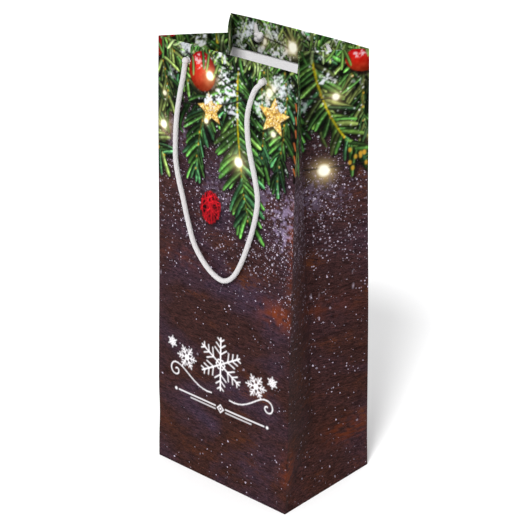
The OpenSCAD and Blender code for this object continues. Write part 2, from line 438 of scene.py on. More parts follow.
# colours of the painted things, needles first
greens = {
    "deep": (0.14, 0.24, 0.12),
    "leaf": (0.27, 0.42, 0.21),
    "fresh": (0.42, 0.55, 0.28),
    "blue": (0.25, 0.42, 0.29),
    "olive": (0.46, 0.51, 0.30),
    "pale": (0.60, 0.66, 0.47),
}
inks = {
    "under": (0.05, 0.05, 0.04),
    "stem": (0.36, 0.34, 0.14),
    "mainStem": (0.62, 0.58, 0.12),
    "bud": (0.76, 0.6, 0.24),
    "stemBud": (0.74, 0.6, 0.24),
    "dusk": (0.1, 0.075, 0.085),
    "depth": (0.07, 0.1, 0.06),
    "boardFrost": (0.55, 0.5, 0.6),
    "rust": (0.53, 0.275, 0.125),
    "twig": (0.62, 0.38, 0.22),
    "twigShade": (0.1, 0.06, 0.05),
    "wire": (0.06, 0.05, 0.05),
    "wireShine": (0.45, 0.42, 0.4),
    "ornament": (0.95, 0.94, 0.95),
    "lightHalo": (1.0, 0.9, 0.66),
    "lightCore": (1.0, 0.99, 0.93),
    "ballShade": (0.07, 0.03, 0.05),
    "ballDark": (0.17, 0.02, 0.05),
    "ballTwig": (0.92, 0.16, 0.22),
    "berryShade": (0.1, 0.03, 0.03),
    "berryRed": (0.66, 0.07, 0.1),
    "berryWarm": (0.8, 0.25, 0.1),
    "starShade": (0.1, 0.07, 0.05),
    "starDark": (0.52, 0.36, 0.13),
    "starLit": (0.95, 0.83, 0.5),
    "starSpark": (0.99, 0.96, 0.82),
}


def inkOf(name):
    return np.array(inks[name])


def sprig(points, count, length, width, tones, stem, spread, stemWidth):
    order = []
    for k in range(count):
        t = min(max((k + rng.uniform(-0.5, 0.5)) / count, 0.0), 1.0)
        here = bezier(points, t)
        ahead = bezier(points, min(t + 0.02, 1.0)) - bezier(points, max(t - 0.02, 0.0))
        way = math.atan2(ahead[1], ahead[0])
        side = 1 if k % 2 else -1
        turn = side * math.radians(spread[0] + (spread[1] - spread[0]) * t + rng.uniform(-13, 13))
        if rng.random() < 0.2:
            turn *= 0.3
        reach = length * rng.uniform(0.72, 1.1) * (1 - 0.25 * t)
        tip = (here[0] + math.cos(way + turn) * reach, here[1] + math.sin(way + turn) * reach)
        order.append((here, tip, side))
    for here, tip, side in order:
        # the shade each needle throws on what lies behind it
        base = (here[0] + 1.0, here[1] - 1.5)
        needle(base, (tip[0] + 1.0, tip[1] - 1.5), width * 1.4, inks["under"], 0, 0, 0.6)
    path = [bezier(points, t) for t in np.linspace(0, 1, 14)]
    stroke(path, stemWidth * 1.7, np.array(stem) * 0.4)
    for number, (here, tip, side) in enumerate(order):
        if number == int(count * 0.7):
            stroke(path, stemWidth, stem)
        tone = np.array(greens[tones[rng.integers(len(tones))]]) * rng.uniform(0.55, 1.4)
        thick = width * rng.uniform(0.75, 1.15)
        bend = side * rng.uniform(-0.03, 0.06)
        needle(here, tip, thick, tone, bend, rng.uniform(0.2, 1.8))
    for here in path[1::2]:
        dab(here[0] + rng.uniform(-0.7, 0.7), here[1], 0.7, 0.9, inks["stemBud"], 0.85)


def looseNeedle(x, z, way, reach, width, tone, bend, gloss):
    tip = (x + math.cos(way) * reach, z + math.sin(way) * reach)
    needle((x, z), tip, width, tone, bend, gloss)


def star(x0, z0, size, turn):
    where, x, z = patchOf(x0 - size * 1.2, x0 + size * 1.2, z0 - size * 1.2, z0 + size * 1.2)
    fifth = 2 * math.pi / 5
    # straight edges from each point, at angle 0, to the notch beside it
    notch = 0.46
    nx, nz = notch * math.cos(math.pi / 5), notch * math.sin(math.pi / 5)
    # first the shade it throws, then the star itself
    for dx, dz, grow, cover in ((1.2, -1.6, 1.06, 0.6), (0, 0, 1.0, 1.0)):
        a = np.arctan2(z - z0 - dz, x - x0 - dx) - turn
        d = np.hypot(x - x0 - dx, z - z0 - dz) / (size * grow)
        a = np.abs((a + fifth / 2) % fifth - fifth / 2)
        edge = ((d * np.cos(a) - 1) * nz - d * np.sin(a) * (nx - 1)) / math.hypot(nz, nx - 1)
        colour = inks["starShade"]
        if cover == 1.0:
            glitter = cloud(z.shape[0], x.shape[1], 2.4, 2)
            lit = np.clip(0.25 + glitter - 0.3 * a / (math.pi / 5), 0, 1.3)[..., None]
            colour = inkOf("starDark") * (1 - lit) + inkOf("starLit") * lit
            spark = (rng.random(glitter.shape) > 0.9)[..., None]
            colour = np.where(spark, inkOf("starSpark"), colour)
        lay(where, colour, cover * np.clip(-edge * size / cell + 0.5, 0, 1))


def berry(x0, z0, rx, rz):
    dab(x0 + 1.5, z0 - 2.2, rx * 1.05, rz * 1.02, inks["berryShade"], 0.7, 0.12)
    where, x, z = patchOf(x0 - rx - 1, x0 + rx + 1, z0 - rz - 1, z0 + rz + 1)
    px, pz = (x - x0) / rx, (z - z0) / rz
    d = np.hypot(px, pz)
    lit = np.clip(0.75 - 0.6 * np.hypot(px + 0.3, pz - 0.35), 0, 1)[..., None]
    blotches = cloud(z.shape[0], x.shape[1], 6, 3)[..., None]
    warm = np.clip(0.5 - 0.6 * pz, 0, 1)[..., None]
    colour = inkOf("berryRed") * (1 - warm) + inkOf("berryWarm") * warm
    colour = colour * (0.62 + 0.75 * lit) + 0.14 * (blotches - 0.5)
    lay(where, colour, np.clip((1 - d) * rx / cell + 0.5, 0, 1))
    frost(x0 - rx * 0.15, z0 + rz * 0.45, rx * 0.75, rz * 0.5, 0.75, 3)


def tangle(x0, z0, rx, rz):
    # a ball of dyed red twigs
    dab(x0 + 1.0, z0 - 2.5, rx * 1.05, rz * 1.02, inks["ballShade"], 0.75, 0.25)
    dab(x0, z0, rx * 0.97, rz * 0.97, inks["ballDark"], 0.95, 0.08)
    for k in range(30):
        # chords of the ball, bowed to its edge
        first, span = rng.uniform(0, 2 * math.pi), rng.uniform(0.7, 2.9)
        low = rng.uniform(-0.7, 0.95)
        arc = []
        for t in np.linspace(0, 1, 8):
            a = first + span * t
            r = 1 - (1 - low) * math.sin(math.pi * t)
            bowed = 0.12 * rx * math.cos(a)
            arc.append((x0 + rx * r * math.cos(a), z0 + rz * r * math.sin(a) + bowed))
        wide = rng.uniform(0.45, 0.7)
        stroke(arc, wide, inkOf("ballTwig") * rng.uniform(0.5, 1.08), 0.95)


def snowflake(x0, z0, size, width, colour, branches=3, turn=0.0):
    for arm in range(6):
        a = math.radians(60 * arm + 90) + turn
        ux, uz = math.cos(a), math.sin(a)
        stroke([(x0, z0), (x0 + ux * size, z0 + uz * size)], width, colour)
        for k in range(branches):
            at = size * (0.38 + 0.24 * k)
            reach = size * (0.34 - 0.08 * k)
            for side in (-1, 1):
                b = a + side * math.radians(52)
                x, z = x0 + ux * at, z0 + uz * at
                tip = (x + math.cos(b) * reach, z + math.sin(b) * reach)
                stroke([(x, z), tip], width * 0.85, colour)
    r = size * 0.2
    ring = [(x0 + r * math.cos(t), z0 + r * math.sin(t)) for t in np.linspace(0, 2 * math.pi, 7) + turn]
    stroke(ring, width * 0.8, colour)


def ornament(x0):
    white = inks["ornament"]
    mid = x0 + 64
    snowflake(mid, 99, 21, 1.0, white, 3)
    for side in (-1, 1):
        snowflake(mid + side * 34, 93, 9.5, 0.85, white, 2, math.radians(30))
        snowflake(mid + side * 49, 101, 4.5, 0.75, white, 1)
        curl = []
        for t in np.linspace(0, 1, 30):
            a = math.radians(100) + side * -6.6 * t
            r = 5.2 * (1 - t) + 0.9
            curl.append((mid + side * 45 + r * math.cos(a), 79.5 + r * math.sin(a)))
        bow = [(mid + side * 9, 73), (mid + side * 26, 70), (mid + side * 36, 87), curl[0]]
        sweep = [bezier(bow, t) for t in np.linspace(0, 1, 12)]
        stroke(sweep + curl, 0.75, white)
        stroke([(mid + side * 5, 64), (mid + side * 42, 64)], 0.8, white)
        stroke([(mid + side * 5, 61.4), (mid + side * 30, 61.4)], 0.6, white)
        dab(mid + side * 45, 64, 1.1, 1.1, white)
    diamond = [(mid - 3, 63), (mid, 66), (mid + 3, 63), (mid, 60), (mid - 3, 63)]
    stroke(diamond, 0.8, white)
    dab(mid, 63, 0.9, 0.9, white)


# sprigs from the hidden ones to the ones on top:
# stem points, how many needles, their length and width, tones, and spread at the foot and the tip
cool = ("leaf", "blue", "leaf", "deep")
warm = ("leaf", "fresh", "olive", "fresh")
mossy = ("olive", "leaf", "olive", "deep")
shady = ("deep", "leaf", "deep", "olive", "blue")
tips = ("pale", "olive", "fresh", "pale", "leaf")
mixed = ("leaf", "fresh", "blue", "olive", "leaf")
sprigs = [
    ([(-14, 352), (6, 336), (30, 304)], 30, 25, 4.1, warm, (46, 26)),
    ([(10, 364), (30, 340), (60, 324)], 30, 22, 3.9, warm, (52, 30)),
    ([(2, 322), (9, 302), (11, 288)], 20, 19, 3.7, mossy, (40, 20)),
    ([(40, 350), (44, 330), (66, 312)], 26, 20, 3.9, cool, (56, 30)),
    ([(49, 300), (40, 272), (37, 242)], 38, 23, 3.9, cool, (50, 16)),
    ([(88, 356), (92, 334), (106, 310)], 30, 22, 4.1, warm, (56, 28)),
    ([(119, 346), (114, 322), (122, 300)], 26, 21, 3.9, cool, (52, 26)),
    ([(96, 318), (101, 284), (98, 256)], 34, 23, 4.1, cool, (50, 14)),
    ([(119, 316), (118, 286), (112, 252)], 36, 22, 3.9, cool, (48, 16)),
    ([(150, 356), (153, 328), (150, 302)], 30, 21, 3.9, cool, (56, 24)),
    ([(138, 322), (144, 298), (147, 266)], 34, 22, 3.9, cool, (50, 18)),
    ([(170, 332), (166, 302), (172, 270)], 32, 21, 3.8, cool, (52, 20)),
    ([(216, 352), (205, 324), (214, 292)], 30, 26, 3.3, mossy, (46, 20)),
    ([(226, 332), (213, 302), (221, 268)], 30, 26, 3.3, mossy, (42, 18)),
    ([(76, 320), (73, 276), (87, 216)], 60, 31, 4.7, ("leaf", "blue", "leaf", "fresh"), (56, 38)),
    ([(183, 348), (181, 302), (198, 264), (230, 244)], 66, 24, 4.4, mixed, (56, 42)),
]
# snow caught in the leaves: centre, reach and amount
caught = [
    (63, 304, 19, 19, 1.0), (58, 327, 11, 13, 0.9), (73, 290, 9, 10, 0.9), (98, 303, 11, 15, 0.85),
    (113, 318, 13, 10, 0.8), (90, 338, 15, 9, 0.8), (27, 328, 9, 9, 0.7), (14, 306, 6, 7, 0.5),
    (41, 347, 17, 10, 0.8), (122, 349, 15, 9, 0.8), (74, 346, 13, 9, 0.7), (192, 333, 13, 11, 0.95),
    (193, 311, 9, 8, 0.95), (160, 320, 10, 10, 0.8), (176, 291, 8, 8, 0.7), (207, 346, 15, 9, 0.8),
    (34, 350, 16, 8, 0.9), (84, 352, 18, 8, 0.95), (112, 340, 14, 10, 0.9), (214, 308, 8, 7, 0.5),
    (145, 302, 8, 10, 0.7), (168, 347, 13, 9, 0.8), (100, 352, 9, 6, 0.8),
]
# snow lying on the boards: centre, reach and amount
lying = [
    (66, 262, 11, 28, 0.5), (100, 248, 18, 32, 0.45), (120, 226, 17, 34, 0.5), (18, 262, 20, 24, 0.3),
    (150, 232, 30, 26, 0.25), (190, 226, 32, 26, 0.3), (60, 236, 26, 24, 0.22),
]
# fairy lights: centre, core, halo and strength
fairyLights = [
    (50, 312, 3.2, 7.0, 1.0), (6, 267, 3.0, 6.5, 0.95), (47, 279, 1.9, 3.4, 0.85),
    (77.5, 256.5, 3.6, 8.0, 1.0), (108, 284, 2.1, 4.0, 0.8), (7, 290, 1.8, 3.2, 0.7),
    (104, 312, 2.8, 5.5, 0.75), (190, 244, 4.2, 6.5, 0.95), (199, 297, 2.6, 6.5, 0.85),
    (70, 345, 4.2, 8.0, 1.0), (150, 341, 2.8, 6.0, 0.8), (28, 343, 2.8, 5.0, 0.7),
    (98, 346, 2.4, 5.0, 0.8), (196, 349, 3.2, 6.0, 0.9), (12, 348, 2.4, 5.0, 0.8),
]
# fine snow drifted on the boards: centre, reach and amount
drifts = [
    (112, 228, 26, 42, 0.75), (128, 180, 20, 60, 0.35), (185, 214, 48, 40, 0.5), (70, 262, 14, 40, 0.55),
    (12, 255, 24, 34, 0.4), (40, 215, 50, 30, 0.2), (178, 130, 46, 80, 0.14),
]
# rusty streaks in the boards: centre, reach and amount
rusty = [
    (116, 154, 15, 9, 0.75), (132, 33, 9, 15, 0.6), (205, 36, 18, 10, 0.45), (128, 205, 4, 40, 0.35),
    (30, 172, 26, 8, 0.2), (180, 140, 26, 8, 0.25),
]
# wires between the lights, end to end
wires = [
    (14, 287, 51, 291), (51, 291, 84, 303), (55, 314, 82, 305), (137, 283, 178, 297),
    (178, 297, 201, 297), (130, 246, 223, 247), (60, 349, 110, 342), (10, 346, 40, 341),
]


def mottle(x0):
    # uneven light among the leaves, broad and fine
    where, x, z = patchOf(x0, x0 + repeat, 200, press["high"])
    broad = cloud(z.shape[0], x.shape[1], 26, 2)
    fine = cloud(z.shape[0], x.shape[1], 3.2, 2)
    light = (0.72 + 0.56 * broad) * (0.72 + 0.56 * fine)
    inkLayer[where] = np.clip(inkLayer[where] * light[..., None], 0, 1)


def foliage(x0):
    # shade between the sprigs, deepest along the top
    where, x, z = patchOf(x0, x0 + repeat, 205, press["high"])
    lumps = cloud(z.shape[0], x.shape[1], 34, 3)
    front = 279 + 16 * np.sin((x - x0) / 13) + 6 * np.sin((x - x0) / 5.1 + 1)
    front = np.where(x - x0 > 128, 270 + 22 * np.sin((x - x0 - 128) / 22 - 0.6), front)
    dusk = np.clip((z - front + 55) / 60, 0, 1) * (0.25 + 0.6 * lumps)
    lay(where, inks["dusk"], 0.5 * dusk)
    depth = np.clip((z - front + 60 * (lumps - 0.5)) / 26, 0, 1)
    lay(where, inks["depth"], 0.92 * depth)
    for x, z, rx, rz, amount in lying:
        frost(x0 + x, z, rx, rz, amount, 4, inks["boardFrost"])
    # single needles behind everything
    for k in range(420):
        x = rng.uniform(-6, 229)
        z = rng.uniform(286, 358) if x < 128 else rng.uniform(278, 358)
        way = math.radians(rng.uniform(-140, -40) + (16 if x < 40 else 0))
        reach = rng.uniform(14, 26)
        tone = np.array(greens[shady[rng.integers(5)]]) * rng.uniform(0.5, 1.25)
        wide, bend = rng.uniform(2.5, 4.0), rng.uniform(-0.08, 0.08)
        looseNeedle(x0 + x, z, way, reach, wide, tone, bend, rng.uniform(0, 1.0))
        if k % 60 == 30:
            frost(x0 + x, z, 9, 8, 0.8, 4)
    for number, (points, count, length, width, tones, spread) in enumerate(sprigs):
        points = [(x0 + x, z) for x, z in points]
        main = number >= len(sprigs) - 2
        stem, stemWidth = (inks["mainStem"], 1.4) if main else (inks["stem"], 0.9)
        sprig(points, count, length, width, tones, stem, spread, stemWidth)
        if number in (8, 13):
            for x, z, rx, rz, amount in caught[::2]:
                frost(x0 + x, z, rx, rz, amount * 0.8, 4)
    # paler tips along the very top, much of which is turned in
    for k in range(210):
        x = rng.uniform(-6, 229)
        z = rng.uniform(330, 364)
        way = math.radians(rng.uniform(-150, -30))
        reach = rng.uniform(9, 17)
        tone = np.array(greens[tips[k % 5]]) * rng.uniform(0.7, 1.2)
        wide, bend = rng.uniform(2.0, 3.2), rng.uniform(-0.08, 0.08)
        looseNeedle(x0 + x, z, way, reach, wide, tone, bend, rng.uniform(0.2, 1.0))
    mottle(x0)
    for x, z, rx, rz, amount in caught:
        frost(x0 + x, z, rx, rz, amount, 4)
    specks(x0, x0 + repeat, 258, 357, 560, 0.75, (0.92, 0.93, 0.95), 0.95)


def rustStreaks(x0):
    # warm stained streaks in the boards near the front corner
    for x, z, rx, rz, amount in rusty:
        where, across, up = patchOf(x0 + x - 2 * rx, x0 + x + 2 * rx, z - 2 * rz, z + 2 * rz)
        rows, cols = up.shape[0], across.shape[1]
        if cols == 0:
            continue
        lumps = np.repeat(cloud(rows, cols // 3 + 1, 3, 3), 3, axis=1)[:, :cols]
        near = np.exp(-((across - x0 - x) / rx) ** 2 - ((up - z) / rz) ** 2)
        lay(where, inks["rust"], amount * near * np.clip((lumps - 0.38) * 4.5, 0, 1))


def trimmings(x0):
    # a brown twig hanging by the corner
    twig = [(x0 + 127.6 + rng.uniform(-0.6, 0.6), z) for z in np.arange(309, 252, -4.5)]
    stroke(twig, 3.2, inks["twigShade"])
    for (ax, az), (bx, bz) in zip(twig[::2], twig[1::2]):
        stroke([(ax - 0.9, az), (bx + 0.3, bz)], 1.5, inks["twig"])
    berry(x0 + 43, 313.5, 12.4, 14)
    berry(x0 + 217.5, 323, 11.5, 8.8)
    for k in range(14):
        # a few needles in front of the berries
        x, z = rng.uniform(26, 60), rng.uniform(318, 340)
        if k % 2:
            x, z = rng.uniform(200, 228), rng.uniform(326, 346)
        way = math.radians(rng.uniform(-135, -45))
        tone = np.array(greens[("leaf", "fresh", "olive")[k % 3]]) * rng.uniform(0.8, 1.2)
        looseNeedle(x0 + x, z, way, 14, 2.6, tone, 0.03, 0.9)
    for ax, az, bx, bz in wires:
        line = [(x0 + ax, az), (x0 + (ax + bx) / 2, (az + bz) / 2 - 1.2), (x0 + bx, bz)]
        stroke(line, 1.1, inks["wire"], 0.9)
        stroke([(x, z + 0.3) for x, z in line], 0.35, inks["wireShine"], 0.6)
    for k in range(9):
        # buds at the end of the side sprig
        dab(x0 + rng.uniform(207, 224), rng.uniform(243, 258), 1.3, 1.8, inks["bud"], 0.9)
    star(x0 + 51, 288, 12.5, 1.75)
    star(x0 + 108, 296, 14, 1.5)
    frost(x0 + 49, 294, 11, 8, 1.0, 3)
    frost(x0 + 112, 304, 7, 6, 0.9, 3)
    tangle(x0 + 51.5, 216.5, 9.6, 12)
    for x, z, core, halo, strength in fairyLights:
        glow(x0 + x, z, core, halo, strength)
    # bigger flakes on the boards
    specks(x0, x0 + repeat, 150, 272, 160, 0.6, (0.85, 0.8, 0.86), 0.7)
    specks(x0 + 84, x0 + 140, 185, 250, 90, 0.75, (0.88, 0.84, 0.9), 0.85)


def driftMap():
    # how thick the fine snow lies on the boards, from 0 to 1
    x = ((np.arange(sheetCols) + 0.5) * cell)[None, :]
    z = ((np.arange(sheetRows) + 0.5) * cell)[:, None]
    x = np.mod(x - press["starts"][1], repeat)
    lumps = cloud(sheetRows, sheetCols, 40, 4)
    amount = 0.03 + 0.05 * np.exp(-((z - 12) / 28) ** 2)
    amount = amount + 0.12 * np.clip((z - 125) / 60, 0, 1) + 0.25 * np.clip((z - 175) / 60, 0, 1)
    for cx, cz, rx, rz, much in drifts:
        amount = amount + much * np.exp(-((x - cx) / rx) ** 2 - ((z - cz) / rz) ** 2)
    return np.clip(amount * (0.35 + 1.3 * lumps), 0, 1).astype(np.float32)


def paintSheet():
    for x0 in press["starts"]:
        rustStreaks(x0)
        foliage(x0)
    for x0 in press["starts"]:
        trimmings(x0)
    for x0 in press["starts"][1:]:
        ornament(x0)


# the folded sheet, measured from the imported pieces
sheetLow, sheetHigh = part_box("front_panel")
flapLow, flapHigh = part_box("front_flap")
footLow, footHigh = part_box("right_gusset_foot")
paper = flapHigh.z - flapLow.z
bag = {
    "wide": sheetHigh.x - sheetLow.x,
    "high": sheetHigh.z,
    "halfBase": -sheetLow.y,
    "halfMouth": -sheetHigh.y + paper,
    "footHigh": footHigh.z,
    "footPinch": sheetHigh.x - footLow.x - 1.05 * paper,
    "mouthPinch": sheetHigh.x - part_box("right_gusset_front")[0].x - 1.3 * paper,
    "hemBottom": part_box("front_hem")[0].z,
    "card": 0.0007,
    "foldRadius": 0.0006,
    "wideTopFold": 0.00065,
    "sideTopFold": 0.00035,
    "backBow": 0.0020,
    "frontBow": 0.0004,
    "bowFrom": 0.17,
    "belly": 0.0011,
    "bellyHigh": 0.105,
    "bellyReach": 0.07,
    "gussetBow": 0.0007,
    "creaseWave": 0.0005,
    "ripple": 0.00016,
    "wander": 0.0003,
    "dent": 0.0009,
    "dentHigh": 0.038,
    "dentReach": 0.016,
    "tuck": 0.0004,
    "tuckHigh": 0.0008,
}
gussetHalf = bag["halfBase"]
halfAround = bag["wide"] + 2 * gussetHalf
around = 2 * halfAround


def smoothStep(low, high, value):
    t = np.clip((value - low) / (high - low), 0, 1)
    return t * t * (3 - 2 * t)


def foldedPoint(u, z, deep):
    # u runs round the bag from the seam: left side, front, right side, back
    s = np.mod(u - 2 * gussetHalf, around)
    behind = s >= halfAround
    h = np.where(behind, s - halfAround, s)
    wide, half = bag["wide"], bag["wide"] / 2
    slope = (bag["halfBase"] - bag["halfMouth"]) / bag["high"]
    edgeY = bag["halfBase"] - slope * z
    foot = bag["footHigh"]
    rise = np.clip((z - foot) / (bag["high"] - foot), 0, 1)
    pinch = bag["footPinch"] + (bag["mouthPinch"] - bag["footPinch"]) * rise
    slant = np.hypot(pinch, edgeY)
    cornerX = half - deep * (edgeY ** 2 + pinch * slant + pinch ** 2) / (slant * edgeY)
    creaseX = half - pinch - deep * slant / edgeY
    # front panel
    q = np.clip(h / wide, 0, 1)
    frontX = (2 * q - 1) * cornerX
    frontY = -(edgeY - deep)
    middle = np.clip(4 * q * (1 - q), 0, 1)
    bulge = bag["belly"] * middle * np.exp(-((z - bag["bellyHigh"]) / bag["bellyReach"]) ** 2)
    flatTop = 1 - np.abs(2 * q - 1) ** 3.5
    bow = np.where(behind, bag["backBow"], bag["frontBow"])
    bulge = bulge + bow * flatTop * smoothStep(bag["bowFrom"], bag["high"], z)
    ripple = np.sin(9 * q + 31 * z + np.where(behind, 2.0, 0.0))
    bulge = bulge + bag["ripple"] * middle * ripple * smoothStep(0, 0.03, z)
    frontY = frontY - bulge
    # right gusset, folded inwards along its middle, its foot folded flat
    a = np.clip((h - wide) / gussetHalf, 0, 2)
    b = np.minimum(a, 2 - a)
    side = np.where(a < 1, -1.0, 1.0)
    upperX = cornerX * (1 - b) + creaseX * b
    upperY = (edgeY - deep) * (1 - b)
    r = np.clip(z / foot, 0, 1)
    footEdge = bag["halfBase"] - slope * foot
    slanted = b <= r
    lowerX = half - bag["footPinch"] * np.minimum(b, r) - deep
    folded = bag["halfBase"] * (1 - r) + footEdge * (r - b)
    lowerY = np.where(slanted, folded, bag["halfBase"] * (1 - b)) * (1 - deep / edgeY)
    above = z >= foot
    gussetX = np.where(above, upperX, lowerX)
    gussetY = side * np.where(above, upperY, lowerY)
    puff = bag["gussetBow"] * np.sin(math.pi * b) * (0.7 + 0.5 * np.sin(23 * z + side))
    puff = puff * smoothStep(0.01, 0.09, z)
    puff = puff + bag["creaseWave"] * b ** 6 * np.sin(17 * z) * smoothStep(0.03, 0.1, z)
    gussetX = gussetX + puff
    onWide = h < wide
    x = np.where(onWide, frontX, gussetX)
    y = np.where(onWide, frontY, gussetY)
    # the corners wander a little, and the paper between follows them
    settle = smoothStep(0.004, 0.03, z) * (1 - smoothStep(0.31, 0.329, z) * 0.6)
    wander = bag["wander"]
    dent = bag["dent"] * np.exp(-((z - bag["dentHigh"]) / bag["dentReach"]) ** 2)
    firstX = wander * np.sin(29 * z + np.where(behind, 1.0, 3.0)) + np.where(behind, 0.0, dent)
    secondX = wander * np.sin(24 * z + np.where(behind, 4.0, 0.5))
    otherX = -(wander * np.sin(29 * z + np.where(behind, 3.0, 1.0)) + np.where(behind, dent, 0.0))
    shift = np.where(onWide, firstX * (1 - q) + secondX * q, secondX * (1 - a / 2) + otherX * a / 2)
    x = x + shift * settle
    turn = np.where(behind, -1.0, 1.0)
    return x * turn, y * turn


def sheetPoint(u, z, deep=0.0):
    u, z, deep = np.broadcast_arrays(*(np.asarray(k, float) for k in (u, z, deep)))
    # the bottom edge curls in a little, and every fold is softened over its radius
    low = np.clip((bag["tuckHigh"] - z) / bag["tuckHigh"], 0, 1)
    deep = deep + bag["tuck"] * (1 - np.sqrt(1 - low ** 2))
    x = np.zeros_like(u)
    y = np.zeros_like(u)
    r = bag["foldRadius"]
    steps = [(du, dz) for du in np.linspace(-r, r, 7) for dz in (-0.0008, 0, 0.0008)]
    for du, dz in steps:
        px, py = foldedPoint(u + du, np.clip(z + dz, 0, bag["high"]), deep)
        x += px / len(steps)
        y += py / len(steps)
    return np.stack([x, y, z], -1)


def gridLines(start, stop, step, close=()):
    # even lines, with extra ones close beside the folds
    near = np.array([0, 0.00014, 0.0003, 0.0005, 0.0008, 0.0012])
    lines = list(start + near) + list(stop - near)
    for fold in close:
        lines += list(fold - near) + list(fold + near)
    even = np.linspace(start, stop, int(round((stop - start) / step)) + 1)
    for line in even:
        if min(abs(line - other) for other in lines) > step * 0.55:
            lines.append(line)
    return np.array(sorted(set(np.round(lines, 7))))


def rowLines(zones):
    lines = []
    for low, high, step in zones:
        lines += list(np.linspace(low, high, int(round((high - low) / step)) + 1))
    return np.array(sorted(set(np.round(lines, 7))))


def inkAt(u, q):
    # the printed picture at points of the flat sheet, as colour times cover, and cover
    step = cell / 1000
    col = np.clip(u / step - 0.5, 0, inkSheet.shape[1] - 1.001)
    row = np.clip(q / step - 0.5, 0, inkSheet.shape[0] - 1.001)
    c = col.astype(int)
    r = row.astype(int)
    fc = (col - c)[..., None]
    fr = (row - r)[..., None]
    low = inkSheet[r, c] * (1 - fc) + inkSheet[r, c + 1] * fc
    high = inkSheet[r + 1, c] * (1 - fc) + inkSheet[r + 1, c + 1] * fc
    return low * (1 - fr) + high * fr


creaseAngle = 50  # degrees, over which an edge of the paper stays sharp


def paperPiece(name, outer, inner, u, q, mats, coarse=10, printed=True, denseRows=0):
    # a thin closed sheet: fine outside face, coarser inside face, and the cut edges
    rows, cols = outer.shape[:2]
    rowPick = sorted(set(list(range(denseRows)) + list(range(denseRows, rows, coarse)) + [rows - 1]))
    colPick = sorted(set(list(range(0, cols, 2 if denseRows else coarse)) + [cols - 1]))
    innerIndex = -np.ones((rows, cols), int)
    keep = np.zeros((rows, cols), bool)
    keep[0, :] = keep[-1, :] = keep[:, 0] = keep[:, -1] = True
    keep[np.ix_(rowPick, colPick)] = True
    innerIndex[keep] = rows * cols + np.arange(keep.sum())
    points = np.vstack([outer.reshape(-1, 3), inner[keep]])
    index = np.arange(rows * cols).reshape(rows, cols)
    quads = np.stack([index[:-1, :-1], index[:-1, 1:], index[1:, 1:], index[1:, :-1]], -1)
    faces = [tuple(f) for f in quads.reshape(-1, 4).tolist()]
    count = len(faces)
    for i0, i1 in zip(rowPick[:-1], rowPick[1:]):
        for j0, j1 in zip(colPick[:-1], colPick[1:]):
            bottom = range(j0, j1) if i0 == 0 else (j0,)
            right = range(i0, i1) if j1 == cols - 1 else (i0,)
            top = range(j1, j0, -1) if i1 == rows - 1 else (j1,)
            left = range(i1, i0, -1) if j0 == 0 else (i1,)
            loop = [innerIndex[i0, j] for j in bottom] + [innerIndex[i, j1] for i in right]
            loop += [innerIndex[i1, j] for j in top] + [innerIndex[i, j0] for i in left]
            faces.append(tuple(int(k) for k in reversed(loop)))
    edge = [(0, j) for j in range(cols - 1)] + [(i, cols - 1) for i in range(rows - 1)]
    edge += [(rows - 1, j) for j in range(cols - 1, 0, -1)] + [(i, 0) for i in range(rows - 1, 0, -1)]
    for here, there in zip(edge, edge[1:] + edge[:1]):
        corners = (index[there], index[here], innerIndex[here], innerIndex[there])
        faces.append(tuple(int(k) for k in corners))
    matIndex = np.ones(len(faces), np.int32)
    matIndex[:count] = 0
    made = meshObject(name, points, faces, mats, True, creaseAngle, matIndex)
    flat = np.zeros((len(points), 3))
    flat[:rows * cols, 0] = u.ravel()
    flat[:rows * cols, 1] = q.ravel()
    flat[rows * cols:, 0] = u[keep]
    flat[rows * cols:, 1] = q[keep]
    flatWhere = made.data.attributes.new("flat", "FLOAT_VECTOR", "POINT")
    flatWhere.data.foreach_set("vector", flat.ravel())
    if printed:
        ink = np.zeros((len(points), 5))
        ink[:rows * cols] = inkAt(u, q).reshape(-1, 5)
        colours = made.data.color_attributes.new("ink", "FLOAT_COLOR", "POINT")
        colours.data.foreach_set("color", ink[:, :4].ravel())
        drift = made.data.attributes.new("drift", "FLOAT", "POINT")
        drift.data.foreach_set("value", ink[:, 4].copy())
    return made


wood = {
    "low": (0.195, 0.118, 0.102),
    "middle": (0.188, 0.118, 0.114),
    "high": (0.215, 0.15, 0.158),
    "cool": (0.205, 0.163, 0.222),
    "rust": (0.33, 0.178, 0.1),
    "snow": (0.74, 0.69, 0.76),
    "baseDrift": 0.06,  # snow on the base, which the drift map leaves out
}


def attributeNode(tree, name):
    node = tree.nodes.new("ShaderNodeAttribute")
    node.attribute_name = name
    return node


